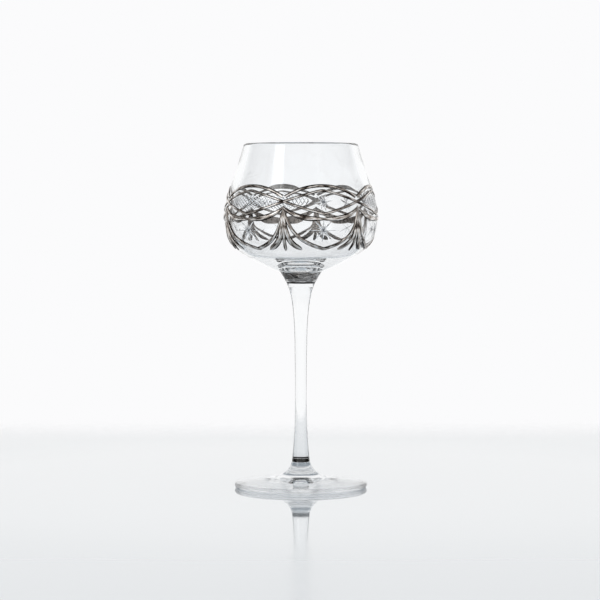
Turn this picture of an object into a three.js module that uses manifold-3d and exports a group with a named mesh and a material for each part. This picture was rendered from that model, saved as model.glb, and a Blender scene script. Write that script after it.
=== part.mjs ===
// Port glass on a drawn stem: a heavy cut bowl, a flared stem and a round foot, all turned forms,
// with the metal lining of the cut ornament lying on the bowl. Millimetres, +Z up, the foot rests on Z = 0.
import * as THREE from 'three';
import { mergeVertices } from 'three/addons/utils/BufferGeometryUtils.js';
import Module from 'manifold-3d';

// Driving heights and radii
const HEIGHT = 160;
const BOWL_SEAT_Z = 100.3;
const STEM_TOP_Z = 95.1;
const FOOT_TOP_Z = 13.6;
const SEAT_RADIUS = 9.65;
const NECK_RADIUS = 4;
const LIP_RADIUS = 1.35;
const LIP_CENTRE_R = 25.45;
const FOOT_RADIUS = 30.9;
const FOOT_EDGE = 2.5;
const FOOT_HOLLOW_RADIUS = 11;
const FOOT_HOLLOW_DEPTH = 0.7;

// Steps round the axis
const BOWL_STEPS = 60;
const STEM_STEPS = 34;
const FOOT_STEPS = 54;

// Ornament: six cells round the bowl, with a crossing of the two wave lines between each pair
const CELLS = 6;
const HALF_CELL = Math.PI / CELLS;
const FIRST_CELL = THREE.MathUtils.degToRad(17 - 90);
const CROSSING_Z = 133.1;
const KNOT_Z = 130.5;
const WAVE_RISE = 5;
const WAVE_DROP = 5.7;
const ARCH_SPRING_Z = 134.9;
const ARCH_RISE = 5.3;
const SCALLOP_DROP = 5.3;
const SWAG_LOW_Z = 111.6;
const MIDDLE_STRAND_END_Z = 110.9;
const SIDE_STRAND_END_Z = 111.4;
const STRAND_SPREAD = THREE.MathUtils.degToRad(14);
const LINE_CLEARANCE = 0.1;
const LINE_HEIGHT = 0.45;
const LINE_GAP = 0.3;
const LINE_CROWN = 0.62;
const WALL_ROUNDING = 11;
const SWAG_LEAN = [0.08, -0.06, 0.05, -0.04, 0.06, 0.14];

// Widths of the lines
const WAVE_WIDTH = 1.3;
const ARCH_WIDTH = 1.6;
const SCALLOP_WIDTH = 2.5;
const SCALLOP_TIP_WIDTH = 1.1;
const SWAG_WIDTH = 2.1;
const SWAG_TIP_WIDTH = 1.3;
const STRAND_TIP_WIDTH = 0.95;
const SIDE_STRAND_WIDTH = 2.8;
const MIDDLE_STRAND_WIDTH = 1.6;
const MIDDLE_STRAND_LIFT = 0.14;

const glass = { color: 0xe6ecf1, roughness: 0.03, metalness: 0, transparent: true, opacity: 0.45 };
const linedMetal = { color: 0x8b8a88, roughness: 0.3, metalness: 1 };

function spline(points) {
  return new THREE.SplineCurve(points.map(([r, z]) => new THREE.Vector2(r, z)));
}

// Solid neck under the bowl, drawn out of it and fused to the stem
const bowlNeck = spline([
  [6.7, STEM_TOP_Z],
  [7.3, 96.4],
  [8.25, 98.2],
  [SEAT_RADIUS, BOWL_SEAT_Z],
]);

// Outer wall of the bowl, from its neck up to the lip
const bowlWall = spline([
  [SEAT_RADIUS, BOWL_SEAT_Z],
  [14.2, 102.2],
  [20.2, 105],
  [25.1, 107.8],
  [30.4, 111.5],
  [33.75, 116.2],
  [35.2, 121.7],
  [35.55, 126.5],
  [34.85, 132.9],
  [33.2, 138.4],
  [31.3, 143.9],
  [29.45, 149.6],
  [27.85, 154.9],
  [LIP_CENTRE_R + LIP_RADIUS, HEIGHT - LIP_RADIUS],
]);

// Inner wall, from the lip down to the middle of the floor
const bowlInside = spline([
  [LIP_CENTRE_R - LIP_RADIUS, HEIGHT - LIP_RADIUS],
  [26.3, 149.5],
  [29.0, 141.2],
  [31.35, 133.7],
  [32.3, 126.5],
  [31.85, 120.5],
  [29.5, 115.2],
  [23.7, 110.1],
  [15.1, 106.1],
  [7, 103.9],
  [0, 103.3],
]);

const stemWall = spline([
  [6.6, STEM_TOP_Z],
  [5.5, 92.3],
  [4.75, 89.4],
  [3.7, 82.7],
  [3.05, 73.5],
  [2.78, 59.5],
  [2.7, 46],
  [2.8, 31.5],
  [3.3, 21.9],
  [3.82, 15.2],
  [NECK_RADIUS, FOOT_TOP_Z],
]);

// Top of the foot, from its short neck under the stem out to the edge
const footTop = spline([
  [NECK_RADIUS, FOOT_TOP_Z],
  [4.2, 12.2],
  [4.55, 11.05],
  [5.25, 9.6],
  [6.8, 7.6],
  [9.2, 6],
  [14.5, 4.55],
  [21.5, 3.55],
  [FOOT_RADIUS - FOOT_EDGE / 2, FOOT_EDGE],
]);

// Turns a closed profile of [radius, height] about Z. It runs from the axis, up the outside, and back to the axis.
function turned(profile, steps) {
  const geometry = new THREE.LatheGeometry(profile, steps);
  geometry.rotateX(Math.PI / 2);
  return geometry;
}

function arc(centreR, centreZ, radiusR, radiusZ, from, to, steps) {
  const points = [];
  for (let i = 0; i <= steps; i++) {
    const angle = THREE.MathUtils.degToRad(from + ((to - from) * i) / steps);
    points.push(new THREE.Vector2(centreR + radiusR * Math.cos(angle), centreZ + radiusZ * Math.sin(angle)));
  }
  return points;
}

function bowlGeometry() {
  const neck = bowlNeck.getPoints(4).slice(0, -1);
  const outer = bowlWall.getSpacedPoints(16);
  const lip = arc(LIP_CENTRE_R, HEIGHT - LIP_RADIUS, LIP_RADIUS, LIP_RADIUS, 0, 180, 5).slice(1, -1);
  const inner = bowlInside.getSpacedPoints(12);
  return turned([new THREE.Vector2(0, STEM_TOP_Z), ...neck, ...outer, ...lip, ...inner], BOWL_STEPS);
}

function stemGeometry() {
  const wall = stemWall.getPoints(15).reverse();
  return turned([new THREE.Vector2(0, FOOT_TOP_Z), ...wall, new THREE.Vector2(0, STEM_TOP_Z)], STEM_STEPS);
}

function footGeometry() {
  const half = FOOT_EDGE / 2;
  const top = footTop.getPoints(12).reverse();
  const edge = arc(FOOT_RADIUS - half, half, half, half, -90, 90, 5).slice(0, -1);
  const hollow = arc(0, 0, FOOT_HOLLOW_RADIUS, FOOT_HOLLOW_DEPTH, 90, 0, 3);
  return turned([...hollow, ...edge, ...top, new THREE.Vector2(0, FOOT_TOP_Z)], FOOT_STEPS);
}

// Radius and slope of the bowl's outer wall at a height
const wallSamples = bowlWall.getSpacedPoints(400);
function wallAt(z) {
  let upper = 1;
  while (upper < wallSamples.length - 1 && wallSamples[upper].y < z) upper += 1;
  const low = wallSamples[upper - 1];
  const high = wallSamples[upper];
  const slope = (high.x - low.x) / (high.y - low.y);
  return { radius: low.x + slope * (z - low.y), slope };
}

// Point that stands off the wall by a height, given its angle round the bowl and its level
function onWall(angle, z, standOff) {
  const { radius, slope } = wallAt(z);
  const stretch = Math.hypot(1, slope);
  const r = radius + standOff / stretch;
  return new THREE.Vector3(r * Math.cos(angle), r * Math.sin(angle), z - (standOff * slope) / stretch);
}

// Moves a spot on the wall sideways from the line's direction by a true distance measured along the glass
function besideLine(spot, direction, distance) {
  const { radius, slope } = wallAt(spot.z);
  const stretch = Math.hypot(1, slope);
  const along = new THREE.Vector2(direction.angle * radius, direction.z * stretch).normalize();
  return { angle: spot.angle - (along.y * distance) / radius, z: spot.z + (along.x * distance) / stretch };
}

// A raised line on the glass: route(t) gives its spots for t from 0 to 1, width(t) its width.
// The section is flat against the glass and crowned on top, and a wide one stands off a little more, so that
// its flat underside clears the rounding of the wall. A closed line joins its own start. A lift makes the line
// thicker than those that it is joined to.
function raisedLine({ route, width, steps, closed = false, swell = 0, lift = 0 }) {
  const positions = [];
  const index = [];
  const rings = closed ? steps : steps + 1;
  const top = LINE_HEIGHT + swell + lift;
  const base = LINE_CLEARANCE - swell / 2 - lift / 4;
  const section = [
    [1, base],
    [-1, base],
    [-LINE_CROWN, top],
    [LINE_CROWN, top],
  ];
  for (let i = 0; i < rings; i++) {
    const t = i / steps;
    const spot = route(t);
    const ahead = route(t + 1e-3);
    const behind = route(t - 1e-3);
    const direction = { angle: ahead.angle - behind.angle, z: ahead.z - behind.z };
    const half = width(t) / 2 + swell;
    const rise = width(t) ** 2 / (8 * WALL_ROUNDING);
    for (const [side, standOff] of section) {
      const beside = besideLine(spot, direction, side * half);
      positions.push(...onWall(beside.angle, beside.z, standOff + rise).toArray());
    }
  }
  const count = section.length;
  const spans = closed ? rings : rings - 1;
  for (let i = 0; i < spans; i++) {
    const here = i * count;
    const next = ((i + 1) % rings) * count;
    for (let k = 0; k < count; k++) {
      const after = (k + 1) % count;
      index.push(here + k, next + k, next + after, here + k, next + after, here + after);
    }
  }
  if (!closed) {
    const last = (rings - 1) * count;
    index.push(0, 1, 2, 0, 2, 3);
    index.push(last, last + 2, last + 1, last, last + 3, last + 2);
  }
  const geometry = new THREE.BufferGeometry();
  geometry.setAttribute('position', new THREE.Float32BufferAttribute(positions, 3));
  geometry.setIndex(index);
  return geometry;
}

// Levels of the lines inside one cell, for u from -1 at one crossing to 1 at the next
const upperWave = (u) => CROSSING_Z + WAVE_RISE * (1 - Math.abs(u) ** 1.25);
const lowerWave = (u) => CROSSING_Z - WAVE_DROP * (1 - Math.abs(u) ** 1.25);
const archLevel = (u) => ARCH_SPRING_Z + ARCH_RISE * (1 - Math.abs(u) ** 2.2);
const scallopLevel = (u) => KNOT_Z - SCALLOP_DROP * (1 - Math.abs(u) ** 3);
const swagLevel = (u) => SWAG_LOW_Z + 4.5 * Math.abs(u) + 7.3 * Math.abs(u) ** 3 + 6.8 * Math.abs(u) ** 9;

// Width that swells from least to most and back, once or more times along a line
function swelling(least, most, bellies = 1) {
  return (t) => least + (most - least) * Math.abs(Math.sin(Math.PI * bellies * t)) ** 0.8;
}

// Width of a tassel's strand: thin at the knot, widest low down and drawn in at its end
function strandWidth(most) {
  return (t) => {
    const full = STRAND_TIP_WIDTH + (most - STRAND_TIP_WIDTH) * Math.sin(0.62 * Math.PI * t ** 1.6);
    return full * (1 - 0.4 * Math.max((t - 0.9) / 0.1, 0) ** 2);
  };
}

// One wave goes once round the glass: over in one cell and under in the next
function waveRoute(firstOver) {
  return (t) => {
    const turns = (t - Math.floor(t)) * CELLS;
    const cell = Math.floor(turns);
    const u = 2 * (turns - cell) - 1;
    const over = (cell % 2 === 0) === firstOver;
    const angle = FIRST_CELL - HALF_CELL + t * 2 * Math.PI;
    return { angle, z: over ? upperWave(u) : lowerWave(u) };
  };
}

// An arc inside one cell, stopping short of the crossings by its reach. A lean moves the middle of its
// curve to the side, as hand work does.
function cellRoute(cell, level, reach, lean) {
  return (t) => {
    const u = reach * (2 * t - 1);
    return { angle: FIRST_CELL + 2 * HALF_CELL * cell + u * HALF_CELL, z: level(u - lean * (1 - u * u)) };
  };
}

// A strand of the tassel that hangs from the knot under a crossing, bending away by its spread
function strandRoute(cell, spread, topZ, endZ) {
  return (t) => {
    const bend = 0.25 * Math.max(t, 0) + 0.75 * Math.max(t, 0) ** 7;
    return { angle: FIRST_CELL + 2 * HALF_CELL * (cell + 0.5) + spread * bend, z: topZ + (endZ - topZ) * t };
  };
}

const wasm = await Module();
wasm.setup();

function toSolid(geometry) {
  const welded = geometry.clone();
  welded.deleteAttribute('normal');
  welded.deleteAttribute('uv');
  const merged = mergeVertices(welded, 1e-4);
  const mesh = new wasm.Mesh({
    numProp: 3,
    vertProperties: new Float32Array(merged.attributes.position.array),
    triVerts: new Uint32Array(merged.index.array),
  });
  return new wasm.Manifold(mesh);
}

function toGeometry(solid) {
  const mesh = solid.getMesh();
  const geometry = new THREE.BufferGeometry();
  geometry.setAttribute('position', new THREE.BufferAttribute(new Float32Array(mesh.vertProperties), 3));
  geometry.setIndex(new THREE.BufferAttribute(new Uint32Array(mesh.triVerts), 1));
  return geometry;
}

const joined = (solids) => solids.reduce((all, solid) => all.add(solid));
const everyCell = [...Array(CELLS).keys()];

// Each kind of line, one solid a cell. A swell above 0 gives the wider copy that trims its neighbours.
function waves(swell = 0) {
  const width = () => WAVE_WIDTH;
  const rings = [true, false].map((over) => {
    return toSolid(raisedLine({ route: waveRoute(over), width, steps: 84, closed: true, swell }));
  });
  return joined(rings);
}

function cellLines({ level, width, reach, steps, leans = [] }, swell = 0) {
  return everyCell.map((cell) => {
    const route = cellRoute(cell, level, reach, leans[cell] ?? 0);
    return toSolid(raisedLine({ route, width, steps, swell }));
  });
}

function tassels(swell = 0) {
  const middle = { spread: 0, topZ: KNOT_Z + 0.6, endZ: MIDDLE_STRAND_END_Z, most: MIDDLE_STRAND_WIDTH };
  const side = { topZ: KNOT_Z - 2, endZ: SIDE_STRAND_END_Z, most: SIDE_STRAND_WIDTH };
  const strands = [
    { ...middle, lift: MIDDLE_STRAND_LIFT },
    { ...side, spread: -STRAND_SPREAD },
    { ...side, spread: STRAND_SPREAD },
  ];
  return everyCell.map((cell) => joined(strands.map(({ spread, topZ, endZ, most, lift }) => {
    const route = strandRoute(cell, spread, topZ, endZ);
    return toSolid(raisedLine({ route, width: strandWidth(most), steps: 9, swell, lift }));
  })));
}

const swagWidth = swelling(SWAG_TIP_WIDTH, SWAG_WIDTH);
const scallopWidth = swelling(SCALLOP_TIP_WIDTH, SCALLOP_WIDTH, 2);
const swagForm = { level: swagLevel, width: swagWidth, reach: 0.94, steps: 20, leans: SWAG_LEAN };
const scallopForm = { level: scallopLevel, width: scallopWidth, reach: 0.985, steps: 16 };
const archForm = { level: archLevel, width: () => ARCH_WIDTH, reach: 0.965, steps: 12 };

// The tassel keeps its whole form, the swag stops at it, the scallop at both, and the arch at the waves
function lineSolids() {
  const allTasselsWide = joined(tassels(LINE_GAP));
  const allSwagsWide = joined(cellLines(swagForm, LINE_GAP));
  const wavesWide = waves(LINE_GAP);
  return {
    wave: [waves()],
    tassel: tassels(),
    swag: cellLines(swagForm).map((line) => line.subtract(allTasselsWide)),
    scallop: cellLines(scallopForm).map((line) => line.subtract(allTasselsWide).subtract(allSwagsWide)),
    arch: cellLines(archForm).map((line) => line.subtract(wavesWide)),
  };
}

const glassPieces = { bowl: bowlGeometry(), stem: stemGeometry(), foot: footGeometry() };

function piece(name, geometry, look) {
  const mesh = new THREE.Mesh(geometry, new THREE.MeshStandardMaterial(look));
  mesh.name = name;
  return mesh;
}

const portGlass = new THREE.Group();
for (const [name, geometry] of Object.entries(glassPieces)) portGlass.add(piece(name, geometry, glass));
for (const [kind, solids] of Object.entries(lineSolids())) {
  solids.forEach((solid, i) => {
    const name = solids.length > 1 ? `line_${kind}_${i + 1}` : `line_${kind}s`;
    portGlass.add(piece(name, toGeometry(solid), linedMetal));
  });
}

export default portGlass;
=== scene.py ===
import bisect
import math

import bmesh
import bpy
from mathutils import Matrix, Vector, noise
from mathutils.geometry import interpolate_bezier


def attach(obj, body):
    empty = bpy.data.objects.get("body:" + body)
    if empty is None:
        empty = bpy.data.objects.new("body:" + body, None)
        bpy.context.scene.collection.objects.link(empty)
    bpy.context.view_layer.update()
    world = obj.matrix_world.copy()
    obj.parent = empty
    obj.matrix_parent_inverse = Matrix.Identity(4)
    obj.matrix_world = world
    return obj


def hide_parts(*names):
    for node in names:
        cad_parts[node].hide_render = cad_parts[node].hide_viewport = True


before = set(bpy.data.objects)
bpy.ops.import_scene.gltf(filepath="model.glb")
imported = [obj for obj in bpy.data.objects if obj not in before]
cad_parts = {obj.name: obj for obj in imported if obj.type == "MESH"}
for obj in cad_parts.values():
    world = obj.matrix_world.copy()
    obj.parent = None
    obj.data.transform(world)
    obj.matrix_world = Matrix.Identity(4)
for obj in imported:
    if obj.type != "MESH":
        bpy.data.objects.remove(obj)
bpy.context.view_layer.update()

MM = 0.001
TURN = 2 * math.pi
GLASS_IOR = 1.52

# Drawing of the glass, millimetres
HEIGHT = 160
STEM_TOP_Z = 95.1
FOOT_TOP_Z = 13.6
JOINT_GAP = 0.02
SOCKET_DEPTH = 2.25
NECK_ROUNDING = 0.55
# Radius from which the painted shade at the lower joint reaches out to the socket's rim
JOINT_SHADE_INNER = 3.15
JOINT_ROUNDING = 0.1
LIP_RADIUS = 1.35
LIP_CENTRE_R = 25.45
FOOT_RADIUS = 30.9
FOOT_EDGE = 2.5
HOLLOW_RADIUS = 11
HOLLOW_DEPTH = 0.7
RIPPLE_INNER = 16.2
RIPPLE_PITCH = 1.2
RIPPLES = 11
RIPPLE_DEPTH = 0.16
TABLE_GAP = 0.04

# Faces round the axis
WIDE_SIDES = 192
STEM_SIDES = 96

# Outlines as radius and height, millimetres
BOWL_NECK = [(6.7, 95.1), (7.3, 96.4), (8.25, 98.2), (9.65, 100.3)]
BOWL_WALL = [
    (9.65, 100.3), (14.2, 102.2), (20.2, 105), (25.1, 107.8), (30.4, 111.5), (33.75, 116.2),
    (35.2, 121.7), (35.55, 126.5), (34.85, 132.9), (33.2, 138.4), (31.3, 143.9), (29.45, 149.6),
    (27.85, 154.9), (26.8, 158.65),
]
BOWL_INSIDE = [
    (24.1, 158.65), (26.3, 149.5), (29, 141.2), (31.35, 133.7), (32.3, 126.5), (31.85, 120.5), (29.5, 115.2),
    (23.7, 110.1), (15.1, 106.1), (7, 103.9), (0, 103.3),
]
STEM_WALL = [
    (6.6, 95.1), (5.5, 92.3), (4.75, 89.4), (3.7, 82.7), (3.05, 73.5), (2.78, 59.5), (2.7, 46),
    (2.8, 31.5), (3.3, 21.9), (3.82, 15.2), (4, 13.6),
]
FOOT_TOP = [
    (4, 13.6), (4.2, 12.2), (4.55, 11.05), (5.25, 9.6), (6.8, 7.6), (9.2, 6),
    (14.5, 4.55), (21.5, 3.55), (29.65, 2.5),
]

# Ornament: six cells round the bowl. Angles go round from the front towards the right
CELLS = 6
HALF_CELL = math.pi / CELLS
FIRST_CELL = math.radians(17 - 90)
CROSSING_Z = 133.1
KNOT_Z = 130.5
TASSEL_SPREAD = math.radians(14)
TASSEL_END_Z = 111.4
MIDDLE_STRAND_END_Z = 110.9
METAL_SINK = 0.12
METAL_CROWN = 0.42
# Shares of half a cell: how far lines reach towards the crossings, and how far each swag leans
LINE_REACH = 0.985
ARCH_REACH = 0.965
SWAG_LEAN = [0.08, -0.06, 0.05, -0.04, 0.06, 0.14]

# Cuts of the wheel: rays of a star are given as direction in degrees, half their length and their depth
UPPER_STAR_Z = 132.9
UPPER_RAYS = [
    (8, 5.0, 0.22), (40, 4.6, 0.24), (72, 4.6, 0.22), (104, 5.0, 0.24), (140, 4.8, 0.24), (170, 3.2, 0.12)]
LOWER_STAR_Z = 120
LOWER_RAYS = [
    (0, 9.5, 0.13), (27, 4.2, 0.12), (50, 6.5, 0.24), (70, 3.6, 0.12), (90, 6.2, 0.24),
    (112, 3.6, 0.12), (134, 6.8, 0.26), (157, 4.4, 0.14)]
STAR_CUT_SPREAD = 2
WHEEL_ABOVE = 0.25
CUT_RUN_OUT = 0.02

# Crossed hatching: its width is a share of a cell, and the ends of its lines are found in small steps
HATCH_PITCH = 1.25
HATCH_DEPTH = 0.25
HATCH_MARGIN = 0.7
HATCH_TURNS = [math.radians(38), math.radians(142)]
HATCH_WIDTH = 0.93
HATCH_EACH_SIDE = 22
HATCH_STEP = 0.2
HATCH_REACH_STEPS = 60


def smooth_line(points, per_span=6):
    """Points in even steps along a smooth curve through the given pairs of radius and height."""
    padded = [points[0], *points, points[-1]]
    line = []
    for before, start, end, after in zip(padded, padded[1:], padded[2:], padded[3:]):
        before, start, end, after = (Vector(p) for p in (before, start, end, after))
        span = interpolate_bezier(
            start, start + (end - before) / 6, end - (after - start) / 6, end, per_span + 1)
        line += [(p.x, p.y) for p in span[:-1]]
    return line + [points[-1]]


def arc(centre_r, centre_z, radius_r, radius_z, start, end, steps):
    """Points on a quarter, half or other part of an ellipse, from one angle to another in degrees."""
    angles = [math.radians(start + (end - start) * i / steps) for i in range(steps + 1)]
    return [(centre_r + radius_r * math.cos(a), centre_z + radius_z * math.sin(a)) for a in angles]


# The bowl's wall as a surface to work on
wall = smooth_line(BOWL_WALL, per_span=24)
wall_levels = [z for _, z in wall]
wall_lengths = [0.0]
for (r0, z0), (r1, z1) in zip(wall, wall[1:]):
    wall_lengths.append(wall_lengths[-1] + math.hypot(r1 - r0, z1 - z0))


def between(table, value):
    """Place of a value in a rising table: the step that it falls in, and how far along that step."""
    i = min(max(bisect.bisect_right(table, value) - 1, 0), len(table) - 2)
    return i, (value - table[i]) / (table[i + 1] - table[i])


def length_at(z):
    """Distance up along the wall at a level."""
    i, t = between(wall_levels, z)
    return wall_lengths[i] + t * (wall_lengths[i + 1] - wall_lengths[i])


def on_wall(angle, length, stand_off):
    """Point in metres that stands off the bowl's wall, by its angle and its distance up along the wall."""
    i, t = between(wall_lengths, length)
    (r0, z0), (r1, z1) = wall[i], wall[i + 1]
    step = math.hypot(r1 - r0, z1 - z0)
    r = r0 + t * (r1 - r0) + stand_off * (z1 - z0) / step
    z = z0 + t * (z1 - z0) - stand_off * (r1 - r0) / step
    return Vector((r * math.cos(angle), r * math.sin(angle), z)) * MM


def radius_at(length):
    """Radius of the wall at a distance up along it."""
    i, t = between(wall_lengths, length)
    return wall[i][0] + t * (wall[i + 1][0] - wall[i][0])


# Pieces from meshes
def piece(name, bm, *materials, sharp=40):
    """Finishes a mesh as a shown piece: smooth faces, crisp edges where they turn by more than sharp."""
    mesh = bpy.data.meshes.new(name)
    bm.to_mesh(mesh)
    bm.free()
    for material in materials:
        mesh.materials.append(material)
    mesh.shade_smooth()
    mesh.set_sharp_from_angle(angle=math.radians(sharp))
    obj = bpy.data.objects.new(name, mesh)
    bpy.context.scene.collection.objects.link(obj)
    return obj


def turned(profile, steps):
    """Closed body spun round the axis from pairs of radius and height that start and end on the axis."""
    bm = bmesh.new()
    verts = [bm.verts.new((r * MM, 0, z * MM)) for r, z in profile]
    edges = [bm.edges.new(pair) for pair in zip(verts, verts[1:])]
    bmesh.ops.spin(
        bm, geom=verts + edges, cent=(0, 0, 0), axis=(0, 0, 1), angle=TURN, steps=steps, use_merge=True)
    bmesh.ops.remove_doubles(bm, verts=bm.verts, dist=1e-7)
    bmesh.ops.recalc_face_normals(bm, faces=bm.faces)
    return bm


def mark_seam(bm, low, high, inner, outer):
    """Gives the second material to the faces between two levels and two distances from the axis."""
    for face in bm.faces:
        middle = face.calc_center_median() / MM
        if low < middle.z < high and inner < math.hypot(middle.x, middle.y) < outer:
            face.material_index = 1


# Materials
def rgb(code):
    """Linear colour from an sRGB hex value."""
    parts = [int(code[i : i + 2], 16) / 255 for i in (1, 3, 5)]
    return [c / 12.92 if c <= 0.04045 else ((c + 0.055) / 1.055) ** 2.4 for c in parts] + [1.0]


def add(tree, kind, links=(), settings=(), **inputs):
    """Adds a node: inputs are values by socket name, links (socket, node, output), settings properties."""
    node = tree.nodes.new(kind)
    for key, value in dict(settings).items():
        setattr(node, key, value)
    for key, value in inputs.items():
        node.inputs[key.replace("_", " ")].default_value = value
    for socket, source, output in links:
        tree.links.new(source.outputs[output], node.inputs[socket])
    return node


def new_material(name):
    """Material without nodes, and its node tree."""
    material = bpy.data.materials.new(name)
    material.use_nodes = True
    material.node_tree.nodes.clear()
    return material, material.node_tree


def lit_through(tree, glass):
    """Output for clear glass: each surface takes a little of a lamp's light, so its shadow is a pale one."""
    ray = add(tree, "ShaderNodeLightPath")
    pale = add(tree, "ShaderNodeBsdfTransparent", Color=rgb("#f6f7f8"))
    mixed = add(
        tree, "ShaderNodeMixShader", [("Fac", ray, "Is Shadow Ray"), (1, glass, "BSDF"), (2, pale, "BSDF")])
    add(tree, "ShaderNodeOutputMaterial", [("Surface", mixed, "Shader")])


def clear_crystal():
    """Clear crystal, blown and fire polished: clean, hard gloss with the faint waviness of hand work."""
    material, tree = new_material("clear crystal, fire polished")
    place = add(tree, "ShaderNodeTexCoord")
    # Waves 14 mm long
    wave = add(tree, "ShaderNodeTexNoise", [("Vector", place, "Object")], Scale=70.0, Detail=1.0)
    ripple = add(tree, "ShaderNodeBump", [("Height", wave, "Fac")], Strength=0.05, Distance=0.0006)
    glass = add(
        tree, "ShaderNodeBsdfPrincipled", [("Normal", ripple, "Normal")],
        Base_Color=rgb("#fcfdfe"), Roughness=0.0, IOR=GLASS_IOR, Transmission_Weight=1.0)
    lit_through(tree, glass)
    return material


def cut_crystal():
    """Wheel-cut facets in the same crystal, polished again after the cutting."""
    material, tree = new_material("clear crystal, wheel cut")
    glass = add(
        tree, "ShaderNodeBsdfPrincipled",
        Base_Color=rgb("#fdfdfe"), Roughness=0.02, IOR=GLASS_IOR, Transmission_Weight=1.0)
    lit_through(tree, glass)
    return material


def joint_painted_shade():
    """Seam where two pieces were fused: a near-black colour, painted shade standing in for the dark that the
    glass shows at its joints, which shows as a fine black line.
    """
    material, tree = new_material("fused seam, painted shade")
    place = add(tree, "ShaderNodeTexCoord")
    # Mottling of the painted shade, 1.1 mm across
    shade_mottle = add(tree, "ShaderNodeTexNoise", [("Vector", place, "Object")], Scale=900.0, Detail=2.0)
    tone = add(tree, "ShaderNodeValToRGB", [("Fac", shade_mottle, "Fac")])
    tone.color_ramp.elements[0].position, tone.color_ramp.elements[0].color = 0.35, rgb("#050505")
    tone.color_ramp.elements[1].position, tone.color_ramp.elements[1].color = 0.75, rgb("#24211e")
    # Painted shade: dull near-black, with little gloss
    dark_bsdf = add(
        tree, "ShaderNodeBsdfPrincipled", [("Base Color", tone, "Color")],
        Roughness=0.7, Specular_IOR_Level=0.1)
    add(tree, "ShaderNodeOutputMaterial", [("Surface", dark_bsdf, "BSDF")])
    return material


def fired_platinum():
    """Platinum lustre, brushed on and fired: grey metal with brush streaks, and painted shade that darkens it
    along its edges, so that its crown is lighter.
    """
    material, tree = new_material("platinum lustre, fired")
    place = add(tree, "ShaderNodeTexCoord")
    stroke = add(tree, "ShaderNodeUVMap", settings={"uv_map": "stroke"})
    split = add(tree, "ShaderNodeSeparateXYZ", [("Vector", stroke, "UV")])
    # Streaks of the bristles 4 mm long: U is in millimetres along the stroke, V from -1 to 1 across it
    streaks = add(
        tree, "ShaderNodeMapping", [("Vector", stroke, "UV")], settings={"vector_type": "POINT"},
        Scale=(0.16, 1, 1))
    bristle = add(
        tree, "ShaderNodeTexNoise", [("Vector", streaks, "Vector")], Scale=1.5, Detail=3.0, Roughness=0.6)
    # Painted shade: the colour darkens towards both edges of a stroke, with the cube of the distance across
    # it
    across = add(tree, "ShaderNodeMath", [(0, split, "Y")], settings={"operation": "ABSOLUTE"})
    edge = add(tree, "ShaderNodeMath", [(0, across, "Value")], settings={"operation": "POWER"})
    edge.inputs[1].default_value = 3.0
    worn = add(
        tree, "ShaderNodeMapRange", [("Value", bristle, "Fac")], settings={"clamp": False},
        From_Min=0.34, From_Max=0.66, To_Min=0.12, To_Max=1.0)
    streaks_and_edge_shade = add(
        tree, "ShaderNodeMath", [(0, edge, "Value"), (2, worn, "Result")],
        settings={"operation": "MULTIPLY_ADD"})
    streaks_and_edge_shade.inputs[1].default_value = -0.75
    # Worn and dull patches 8 mm across
    cloud = add(tree, "ShaderNodeTexNoise", [("Vector", place, "Object")], Scale=130.0, Detail=1.0)
    patch = add(
        tree, "ShaderNodeMapRange", [("Value", cloud, "Fac")],
        From_Min=0.36, From_Max=0.5, To_Min=-0.25, To_Max=0.0)
    uneven = add(
        tree, "ShaderNodeMath", [(0, streaks_and_edge_shade, "Value"), (1, patch, "Result")], settings={"operation": "ADD"})
    tone = add(tree, "ShaderNodeValToRGB", [("Fac", uneven, "Value")])
    ramp = tone.color_ramp
    ramp.elements[0].position, ramp.elements[0].color = 0.0, rgb("#16120f")
    ramp.elements[1].position, ramp.elements[1].color = 0.85, rgb("#ffffff")
    for position, colour in ((0.2, "#4a423d"), (0.4, "#aca29a"), (0.6, "#ddd6cf")):
        ramp.elements.new(position).color = rgb(colour)
    # Grain of the fired film 0.3 mm across, coarser than the real one so that it shows
    grain = add(tree, "ShaderNodeTexNoise", [("Vector", place, "Object")], Scale=3500.0, Detail=3.0)
    height = add(
        tree, "ShaderNodeMath", [(0, grain, "Fac"), (1, bristle, "Fac")], settings={"operation": "ADD"})
    bump = add(tree, "ShaderNodeBump", [("Height", height, "Value")], Strength=0.6, Distance=0.0001)
    metal = add(
        tree, "ShaderNodeBsdfPrincipled", [("Base Color", tone, "Color"), ("Normal", bump, "Normal")],
        Metallic=1.0, Roughness=0.24)
    add(tree, "ShaderNodeOutputMaterial", [("Surface", metal, "BSDF")])
    return material


def platinum_on_glass():
    """The side of the platinum film that lies on the crystal and shows through it: unworn and cloudy."""
    material, tree = new_material("platinum lustre, side on the glass")
    place = add(tree, "ShaderNodeTexCoord")
    # Thick and thin places of the film 1.1 mm across
    cloud = add(tree, "ShaderNodeTexNoise", [("Vector", place, "Object")], Scale=900.0, Detail=3.0)
    tone = add(tree, "ShaderNodeValToRGB", [("Fac", cloud, "Fac")])
    tone.color_ramp.elements[0].position, tone.color_ramp.elements[0].color = 0.35, rgb("#453e39")
    tone.color_ramp.elements[1].position, tone.color_ramp.elements[1].color = 0.65, rgb("#a89e95")
    metal = add(
        tree, "ShaderNodeBsdfPrincipled", [("Base Color", tone, "Color")], Metallic=1.0, Roughness=0.3)
    add(tree, "ShaderNodeOutputMaterial", [("Surface", metal, "BSDF")])
    return material


crystal = clear_crystal()
facets = cut_crystal()
seam = joint_painted_shade()
platinum = fired_platinum()
platinum_inside = platinum_on_glass()


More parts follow.
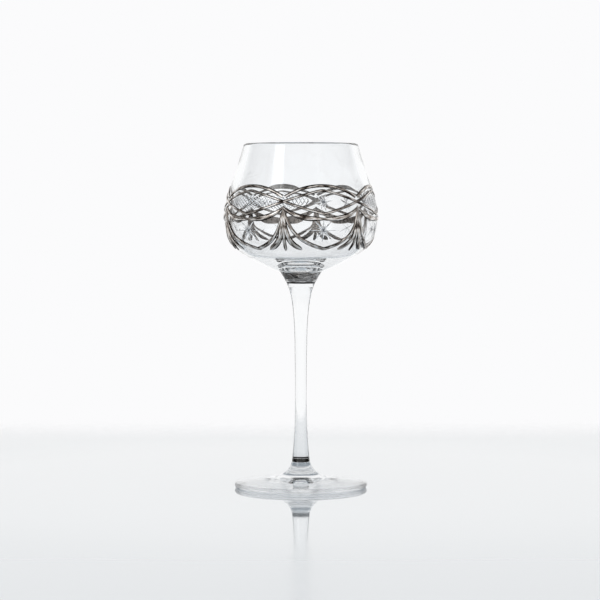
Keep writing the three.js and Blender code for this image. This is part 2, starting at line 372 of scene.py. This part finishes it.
# Cutting the stars and the hatching
def mitre_cut(angle, level, turn, reach, depth, spread=1):
    """Body that a V wheel takes out of the wall: deepest in the middle and running out at both ends.
    turn is its direction on the wall, reach half its length and spread half its width for each depth."""
    bm = bmesh.new()
    bmesh.ops.create_cone(bm, cap_ends=False, segments=3, radius1=1, radius2=1, depth=2)
    long_edges = [e for e in bm.edges if abs(e.verts[0].co.z - e.verts[1].co.z) > 1]
    steps = max(3, round(reach * 1.2))
    bmesh.ops.subdivide_edges(bm, edges=long_edges, cuts=2 * steps - 1, use_grid_fill=True)
    bmesh.ops.holes_fill(bm, edges=[e for e in bm.edges if e.is_boundary], sides=4)
    start = length_at(level)
    crest = max(v.co.y for v in bm.verts)
    for v in bm.verts:
        t = v.co.z
        deep = depth * (1 - t * t) - CUT_RUN_OUT
        if v.co.y > crest - 0.1:
            aside, stand_off = 0, -deep
        else:
            aside, stand_off = math.copysign((deep + WHEEL_ABOVE) * spread, v.co.x), WHEEL_ABOVE
        x = t * reach * math.cos(turn) - aside * math.sin(turn)
        y = t * reach * math.sin(turn) + aside * math.cos(turn)
        length = start + y
        v.co = on_wall(angle + x / radius_at(length), length, stand_off)
    bmesh.ops.recalc_face_normals(bm, faces=bm.faces)
    return bm


def gathered(parts):
    """One mesh from several."""
    whole = bmesh.new()
    for bm in parts:
        mesh = bpy.data.meshes.new("part")
        bm.to_mesh(mesh)
        bm.free()
        whole.from_mesh(mesh)
        bpy.data.meshes.remove(mesh)
    return whole


# Lines of the ornament as levels in millimetres: u goes from -1 to 1 across a cell
def cell_angle(cell, u=0):
    return FIRST_CELL + 2 * HALF_CELL * cell + u * HALF_CELL


def level_wave_over(u):
    return CROSSING_Z + 5 * (1 - abs(u) ** 1.25)


def level_wave_under(u):
    return CROSSING_Z - 5.7 * (1 - abs(u) ** 1.1)


def level_arch(u):
    return 134.9 + 5.3 * (1 - abs(u) ** 2.2)


def level_scallop(u):
    return KNOT_Z - 5.3 * (1 - abs(u) ** 3)


def level_swag(u):
    return 111.6 + 4.5 * abs(u) + 7.3 * abs(u) ** 3 + 6.8 * abs(u) ** 9


def star_cuts(rays, level, cells):
    """Meshes of cutters, one for each direction of the stars' rays, so that no two in a mesh touch."""
    return [
        gathered(
            mitre_cut(cell_angle(cell), level, math.radians(turn), reach, depth, STAR_CUT_SPREAD)
            for cell in cells)
        for turn, reach, depth in rays]


def hatch_cuts():
    """Meshes of cutters, one for each direction, for the crossed lines inside the waves in half the cells."""
    middle = length_at(CROSSING_Z)
    batches = []
    for turn in HATCH_TURNS:
        cuts = []
        for cell in range(1, CELLS, 2):
            for k in range(-HATCH_EACH_SIDE, HATCH_EACH_SIDE + 1):
                offset = k * HATCH_PITCH
                ends = hatch_ends(offset, turn, middle)
                if not ends:
                    continue
                halfway = sum(ends) / 2
                place = middle + halfway * math.sin(turn)
                i, t = between(wall_lengths, place)
                level = wall_levels[i] + t * (wall_levels[i + 1] - wall_levels[i])
                x = offset / math.sin(turn) + halfway * math.cos(turn)
                angle = cell_angle(cell) + x / radius_at(place)
                cuts.append(mitre_cut(angle, level, turn, (ends[1] - ends[0]) / 2, HATCH_DEPTH))
        batches.append(gathered(cuts))
    return batches


def hatch_ends(offset, turn, middle):
    """Where a hatching line enters and leaves the lens, as distances along it, or None where it misses."""
    inside = []
    for i in range(-HATCH_REACH_STEPS, HATCH_REACH_STEPS + 1):
        s = i * HATCH_STEP
        x = offset / math.sin(turn) + s * math.cos(turn)
        y = s * math.sin(turn)
        u = x / radius_at(middle + y) / HALF_CELL
        if abs(u) >= HATCH_WIDTH:
            continue
        low = length_at(level_wave_under(u)) - middle + HATCH_MARGIN
        high = length_at(level_wave_over(u)) - middle - HATCH_MARGIN
        if low < y < high:
            inside.append(s)
    return (inside[0], inside[-1]) if len(inside) > 4 else None


def cut_out(obj, batches, material):
    """Takes each mesh of cutters out of a piece, and leaves the cut faces with the given material."""
    tools = []
    for n, bm in enumerate(batches):
        tool = piece(f"wheel_{n}", bm, material)
        cut = obj.modifiers.new(f"cut {n}", "BOOLEAN")
        cut.operation = "DIFFERENCE"
        cut.solver = "MANIFOLD"
        cut.material_mode = "TRANSFER"
        cut.object = tool
        tools.append(tool)
    mesh = bpy.data.meshes.new_from_object(obj.evaluated_get(bpy.context.evaluated_depsgraph_get()))
    obj.modifiers.clear()
    obj.data = mesh
    for tool in tools:
        bpy.data.objects.remove(tool)


# The three pieces of glass
def make_bowl():
    """Bowl with its short solid neck, with painted shade round the fused edge, and with its stars and
    hatching cut.
    """
    neck = smooth_line(BOWL_NECK)
    e = NECK_ROUNDING
    neck = arc(neck[0][0] - e, STEM_TOP_Z + e, e, e, -90, 0, 5) + [p for p in neck if p[1] > STEM_TOP_Z + e]
    outer = smooth_line(BOWL_WALL)
    lip = arc(LIP_CENTRE_R, HEIGHT - LIP_RADIUS, LIP_RADIUS, LIP_RADIUS, 0, 180, 14)
    inner = smooth_line(BOWL_INSIDE)
    bm = turned([(0, STEM_TOP_Z), *neck, *outer[1:], *lip[1:-1], *inner], WIDE_SIDES)
    # Painted shade: the rounded edge of the neck at the joint is coloured near black
    mark_seam(bm, STEM_TOP_Z, STEM_TOP_Z + e, BOWL_NECK[0][0] - e, BOWL_NECK[0][0])
    bowl = piece("bowl_glass", bm, crystal, seam)
    upper_stars = star_cuts(UPPER_RAYS, UPPER_STAR_Z, range(0, CELLS, 2))
    lower_stars = star_cuts(LOWER_RAYS, LOWER_STAR_Z, range(CELLS))
    cut_out(bowl, upper_stars + lower_stars + hatch_cuts(), facets)
    bowl.data.shade_smooth()
    bowl.data.set_sharp_from_angle(angle=math.radians(22))
    return bowl


def socket(lift=0.0):
    """Rounded end of the stem where it is let into the foot, from the axis outwards."""
    radius = STEM_WALL[-1][0] - JOINT_ROUNDING
    places = [i / 24 for i in range(24)]
    return [(radius * out, FOOT_TOP_Z + lift - SOCKET_DEPTH * (1 - out ** 8)) for out in places]


def make_stem():
    """Stem between the two fused joints, a hair's breadth short of its neighbours at both."""
    side = smooth_line(STEM_WALL)[::-1]
    low, high, e = FOOT_TOP_Z + JOINT_GAP, STEM_TOP_Z - JOINT_GAP, JOINT_ROUNDING
    lower = arc(side[0][0] - e, low + e, e, e, -90, 0, 5)
    bm = turned([*socket(JOINT_GAP), *lower, *side[1:-1], (side[-1][0], high), (0, high)], STEM_SIDES)
    # Painted shade: the socket's faces towards its rim are coloured near black
    mark_seam(bm, FOOT_TOP_Z - SOCKET_DEPTH, FOOT_TOP_Z, JOINT_SHADE_INNER, STEM_WALL[-1][0] - JOINT_ROUNDING)
    return piece("stem_glass", bm, crystal, seam)


def make_foot():
    """Foot with a domed top, a hollow and uneven ripples underneath, and the socket for the stem."""
    half = FOOT_EDGE / 2
    top = smooth_line(FOOT_TOP)[::-1]
    edge = arc(FOOT_RADIUS - half, half, half, half, -90, 90, 14)[:-1]
    hollow = arc(0, 0, HOLLOW_RADIUS, HOLLOW_DEPTH, 90, 0, 16)
    e = JOINT_ROUNDING
    rounded = arc(top[-1][0] - e, FOOT_TOP_Z - e, e, e, 0, 90, 5)
    ripples = [
        (RIPPLE_INNER + RIPPLE_PITCH * i / 8, RIPPLE_DEPTH * math.sin(math.pi * i / 8) ** 2)
        for i in range(8 * RIPPLES + 1)]
    bm = turned([*hollow, *ripples, *edge, *top[:-1], *rounded, *socket()[::-1]], WIDE_SIDES)
    for v in bm.verts:
        if 0 < v.co.z < (RIPPLE_DEPTH + 0.01) * MM and v.co.xy.length > RIPPLE_INNER * MM:
            # Uneven from place to place, over 2.5 mm
            v.co.z *= 0.5 + 0.5 * noise.noise(v.co * 400)
    # Painted shade: the socket's faces towards its rim are coloured near black
    mark_seam(bm, FOOT_TOP_Z - SOCKET_DEPTH, FOOT_TOP_Z, JOINT_SHADE_INNER, FOOT_TOP[0][0] - JOINT_ROUNDING)
    return piece("foot_glass", bm, crystal, seam)


for node, obj in (("bowl", make_bowl()), ("stem", make_stem()), ("foot", make_foot())):
    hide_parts(node)
    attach(obj, "root")


# The metal lining
def stroke(bm, route, width, steps, slow_end=1.0, ring=False):
    """Adds one brushed stroke of metal that follows a route on the wall. route(t) gives its angle and level,
    and width(t) its width in millimetres. slow_end above 1 puts the steps closer together towards the end.
    A ring is a stroke that comes back to its start and so has no ends."""
    new = bmesh.ops.create_grid(bm, x_segments=steps, y_segments=8, size=1)["verts"]
    faces = list({f for v in new for f in v.link_faces})
    copied = bmesh.ops.extrude_face_region(bm, geom=faces, use_keep_orig=True)["geom"]
    below = {g for g in copied if isinstance(g, bmesh.types.BMVert)}
    layer = bm.loops.layers.uv.get("stroke") or bm.loops.layers.uv.new("stroke")
    places = {}
    for v in list(new) + list(below):
        t, side = 1 - (1 - (v.co.x + 1) / 2) ** slow_end, v.co.y
        angle, level = route(t)
        ahead, behind = route(t + 1e-3), route(t - 1e-3)
        length = length_at(level)
        radius = radius_at(length)
        rise = length_at(ahead[1]) - length_at(behind[1])
        direction = Vector(((ahead[0] - behind[0]) * radius, rise)).normalized()
        aside = side * width(t) / 2
        x, y = -direction.y * aside, direction.x * aside
        crown = 0 if v in below else (METAL_CROWN + METAL_SINK) * (1 - side * side) ** 0.5
        places[v] = (t, side)
        v.co = on_wall(angle + x / radius, length + y, crown - METAL_SINK)
    run = route_length(route)
    whole = {f for v in places for f in v.link_faces}
    for face in whole:
        face.material_index = 1 if all(v in below for v in face.verts) else 0
        for loop in face.loops:
            t, side = places[loop.vert]
            loop[layer].uv = (t * run, side)
    if ring:
        ends = [face for face in whole if len({places[v][0] for v in face.verts}) == 1]
        bmesh.ops.delete(bm, geom=ends, context="FACES")
    bmesh.ops.remove_doubles(bm, verts=list(places), dist=1e-7)


def route_length(route):
    """Length in millimetres of a route on the wall."""
    total = 0.0
    for i in range(40):
        (a0, z0), (a1, z1) = route(i / 40), route((i + 1) / 40)
        l0, l1 = length_at(z0), length_at(z1)
        total += math.hypot((a1 - a0) * radius_at(l0), l1 - l0)
    return total


def cell_route(cell, level, reach, lean=0.0):
    """Route of a line inside one cell. lean moves the middle of its curve to the side, as hand work does."""
    def route(t):
        u = reach * (2 * t - 1)
        return cell_angle(cell, u), level(u - lean * (1 - u * u))
    return route


def wave_route(first_over):
    """Route of one wave all the way round, over the lens of one cell and under that of the next."""
    def route(t):
        turns = (t % 1.0) * CELLS
        cell = math.floor(turns)
        u = 2 * (turns - cell) - 1
        over = (cell % 2 == 0) == first_over
        return FIRST_CELL - HALF_CELL + t * TURN, level_wave_over(u) if over else level_wave_under(u)
    return route


def strand_route(cell, spread, top, end):
    """Route of one strand of the tassel after a cell, which spreads aside as it falls."""
    def route(t):
        t = max(t, 0)
        return cell_angle(cell, 1.0) + spread * (0.25 * t + 0.75 * t ** 7), top + (end - top) * t
    return route


def metal(name, node, strokes, **how):
    """One piece of the lining from its strokes, each given as route, width and number of steps."""
    bm = bmesh.new()
    for route, width, steps in strokes:
        stroke(bm, route, width, steps, **how)
    bmesh.ops.recalc_face_normals(bm, faces=bm.faces)
    obj = piece(name, bm, platinum, platinum_inside, sharp=60)
    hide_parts(node)
    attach(obj, "root")
    return obj


def even(width):
    """Width that stays the same."""
    return lambda t: width


def swelling(least, most, bellies=1):
    """Width that swells from least to most and back, once or more times along a stroke."""
    return lambda t: least + (most - least) * abs(math.sin(math.pi * bellies * t)) ** 0.8


def strand_width(most):
    """Width of a strand: thin at the knot, widest low down, with a round end."""
    def width(t):
        t = min(max(t, 0), 1)
        full = 0.95 + (most - 0.95) * math.sin(0.62 * math.pi * t ** 1.6)
        return full * math.sqrt(max(1 - max((t - 0.93) / 0.07, 0) ** 2, 0.02))
    return width


metal("wave_lines", "line_waves", [(wave_route(over), even(1.3), 240) for over in (True, False)], ring=True)
for cell in range(CELLS):
    n = cell + 1
    strands = [
        (strand_route(cell, 0, KNOT_Z + 0.6, MIDDLE_STRAND_END_Z), strand_width(1.6), 36),
        (strand_route(cell, -TASSEL_SPREAD, KNOT_Z - 1, TASSEL_END_Z), strand_width(2.8), 36),
        (strand_route(cell, TASSEL_SPREAD, KNOT_Z - 0.9, TASSEL_END_Z), strand_width(2.8), 36),
    ]
    swag = cell_route(cell, level_swag, LINE_REACH, SWAG_LEAN[cell])
    scallop = cell_route(cell, level_scallop, LINE_REACH)
    arch = cell_route(cell, level_arch, ARCH_REACH)
    metal(f"tassel_{n}", f"line_tassel_{n}", strands, slow_end=1.8)
    metal(f"swag_{n}", f"line_swag_{n}", [(swag, swelling(1.3, 2.1), 48)])
    metal(f"scallop_{n}", f"line_scallop_{n}", [(scallop, swelling(1.1, 2.5, 2), 56)])
    metal(f"arch_{n}", f"line_arch_{n}", [(arch, even(1.6), 40)])


# Table, studio and camera
def glossy_table():
    """Lacquered board, pale grey under a clear coat: polished round the glass, duller further out, where the
    mirror image fades. Its edge melts into the backdrop."""
    material, tree = new_material("lacquered board, glossy")
    place = add(tree, "ShaderNodeTexCoord")
    split = add(tree, "ShaderNodeSeparateXYZ", [("Vector", place, "Object")])
    # How far out on the board, whose middle lies 0.1 m in front of the glass
    x = add(tree, "ShaderNodeMath", [(0, split, "X")], settings={"operation": "ABSOLUTE"})
    centred = add(tree, "ShaderNodeMath", [(0, split, "Y")], settings={"operation": "ADD"})
    centred.inputs[1].default_value = 0.1
    y = add(tree, "ShaderNodeMath", [(0, centred, "Value")], settings={"operation": "ABSOLUTE"})
    far = add(tree, "ShaderNodeMath", [(0, x, "Value"), (1, y, "Value")], settings={"operation": "MAXIMUM"})
    fade = add(
        tree, "ShaderNodeMapRange", [("Value", far, "Value")], settings={"interpolation_type": "SMOOTHSTEP"},
        From_Min=0.315, From_Max=0.435)
    # How far from the glass
    away = add(tree, "ShaderNodeVectorMath", [(0, place, "Object")], settings={"operation": "LENGTH"})
    dull = add(
        tree, "ShaderNodeMapRange", [("Value", away, "Value")], settings={"interpolation_type": "SMOOTHSTEP"},
        From_Min=0.1, From_Max=0.24, To_Min=0.045, To_Max=0.17)
    board = add(
        tree, "ShaderNodeBsdfPrincipled",
        [("Roughness", dull, "Result"), ("Coat Roughness", dull, "Result")],
        Base_Color=rgb("#c6cfd6"), IOR=1.6, Coat_Weight=1.0, Coat_IOR=1.5)
    gone = add(tree, "ShaderNodeBsdfTransparent")
    mixed = add(tree, "ShaderNodeMixShader", [("Fac", fade, "Result"), (1, board, "BSDF"), (2, gone, "BSDF")])
    add(tree, "ShaderNodeOutputMaterial", [("Surface", mixed, "Shader")])
    return material


bm = bmesh.new()
bmesh.ops.create_grid(bm, x_segments=1, y_segments=1, size=0.6)
bmesh.ops.translate(bm, verts=bm.verts, vec=(0, 0, -TABLE_GAP * MM))
piece("table", bm, glossy_table())


def grey(level):
    """Neutral colour of a linear brightness."""
    return (level, level, level, 1.0)


def by_height(tree, height, stops):
    """Brightness that changes with the height of a direction, given as pairs of height and brightness."""
    node = add(tree, "ShaderNodeValToRGB", [("Fac", height, "Result")])
    ramp = node.color_ramp
    ramp.elements[0].position, ramp.elements[1].position = 0.0, 1.0
    ramp.elements[0].color, ramp.elements[1].color = grey(stops[0][1]), grey(stops[-1][1])
    for level, brightness in stops[1:-1]:
        ramp.elements.new((level + 1) / 2).color = grey(brightness)
    return node


# The studio as pairs of height and brightness: height is the sine of the angle above level
BACKDROP = [(-1, 1), (-0.2, 1), (0.5, 1), (0.58, 0.6), (0.66, 0.1), (0.8, 0.02), (1, 0.02)]
LEFT_WALL = [
    (-1, 0.95), (-0.14, 0.9), (-0.05, 0.05), (0.3, 0.08), (0.45, 0.5), (0.62, 0.5), (0.7, 0.1), (1, 0.1)]
RIGHT_WALL = [
    (-1, 0.95), (-0.14, 0.9), (-0.05, 0.08), (0.3, 0.15), (0.42, 1), (0.64, 1), (0.72, 0.1), (1, 0.1)]
ROOM = [
    (-1, 0.9), (-0.14, 0.85), (-0.05, 0.8), (0.3, 0.85), (0.42, 0.95), (0.64, 0.95), (0.72, 0.12), (1, 0.12)]


def studio_world():
    """A lit backdrop behind the glass and darker walls beside it. The room round the camera is pale, and
    the ceiling is dark."""
    world = bpy.data.worlds.new("studio")
    world.use_nodes = True
    tree = world.node_tree
    tree.nodes.clear()
    place = add(tree, "ShaderNodeTexCoord")
    split = add(tree, "ShaderNodeSeparateXYZ", [("Vector", place, "Generated")])
    height = add(tree, "ShaderNodeMapRange", [("Value", split, "Z")], From_Min=-1.0, From_Max=1.0)
    level = add(tree, "ShaderNodeCombineXYZ", [("X", split, "X"), ("Y", split, "Y")])
    heading = add(tree, "ShaderNodeVectorMath", [(0, level, "Vector")], settings={"operation": "NORMALIZE"})
    towards = add(tree, "ShaderNodeSeparateXYZ", [("Vector", heading, "Vector")])
    backdrop = by_height(tree, height, BACKDROP)
    left = by_height(tree, height, LEFT_WALL)
    right = by_height(tree, height, RIGHT_WALL)
    room = by_height(tree, height, ROOM)
    aside = add(
        tree, "ShaderNodeMapRange", [("Value", towards, "X")], settings={"interpolation_type": "SMOOTHSTEP"},
        From_Min=-0.3, From_Max=0.3)
    walls = add(
        tree, "ShaderNodeMix", [("Factor", aside, "Result"), (6, left, "Color"), (7, right, "Color")],
        settings={"data_type": "RGBA"})
    near = add(
        tree, "ShaderNodeMapRange", [("Value", towards, "Y")], settings={"interpolation_type": "SMOOTHSTEP"},
        From_Min=-0.35, From_Max=-0.6)
    far = add(
        tree, "ShaderNodeMapRange", [("Value", towards, "Y")], settings={"interpolation_type": "SMOOTHSTEP"},
        From_Min=0.42, From_Max=0.62)
    sides = add(
        tree, "ShaderNodeMix", [("Factor", near, "Result"), (6, walls, 2), (7, room, "Color")],
        settings={"data_type": "RGBA"})
    whole = add(
        tree, "ShaderNodeMix", [("Factor", far, "Result"), (6, sides, 2), (7, backdrop, "Color")],
        settings={"data_type": "RGBA"})
    ray = add(tree, "ShaderNodeLightPath")
    shown = add(
        tree, "ShaderNodeMix", [("Factor", ray, "Is Camera Ray"), (6, whole, 2)],
        settings={"data_type": "RGBA"})
    shown.inputs[7].default_value = rgb("#fbfbfc")
    light = add(tree, "ShaderNodeBackground", [("Color", shown, 2)], Strength=1.0)
    add(tree, "ShaderNodeOutputWorld", [("Surface", light, "Background")])
    return world


bpy.context.scene.world = studio_world()


def soft_box(name, heading, height, distance, width, tall, radiance, through=True):
    """Soft box aimed at the bowl. heading goes round from the camera's side towards the right, in degrees.
    One that isn't seen through the glass isn't mirrored in it or in the table either."""
    data = bpy.data.lights.new(name, "AREA")
    data.shape = "RECTANGLE"
    data.size = width
    data.size_y = tall
    data.energy = radiance * math.pi * width * tall
    box = bpy.data.objects.new(name, data)
    a, e = math.radians(heading), math.radians(height)
    aim = Vector((0, 0, 0.13))
    towards = Vector((math.sin(a) * math.cos(e), -math.cos(a) * math.cos(e), math.sin(e)))
    box.location = aim + distance * towards
    box.rotation_euler = (box.location - aim).to_track_quat("Z", "Y").to_euler()
    box.visible_camera = False
    box.visible_transmission = through
    box.visible_glossy = through
    bpy.context.scene.collection.objects.link(box)


soft_box("key box", heading=-45, height=24, distance=1.6, width=0.52, tall=0.9, radiance=1.6)
soft_box("fill box", heading=45, height=24, distance=1.6, width=0.8, tall=0.8, radiance=1.0, through=False)
soft_box("top box", heading=0, height=89, distance=1.0, width=0.7, tall=0.7, radiance=3.2, through=False)

# The camera stands in front of the glass and a little above the bowl's middle
camera_data = bpy.data.cameras.new("camera")
camera_data.lens = 138.7
camera = bpy.data.objects.new("camera", camera_data)
camera.location = (-0.0004, -1.075, 0.132)
camera.rotation_euler = (math.radians(87.62), 0, 0)
bpy.context.scene.collection.objects.link(camera)
bpy.context.scene.camera = camera
bpy.context.scene.view_settings.view_transform = "Standard"

# Light goes through the glass many times before it leaves
cycles = bpy.context.scene.cycles
cycles.max_bounces = 40
cycles.transmission_bounces = 40
cycles.glossy_bounces = 24
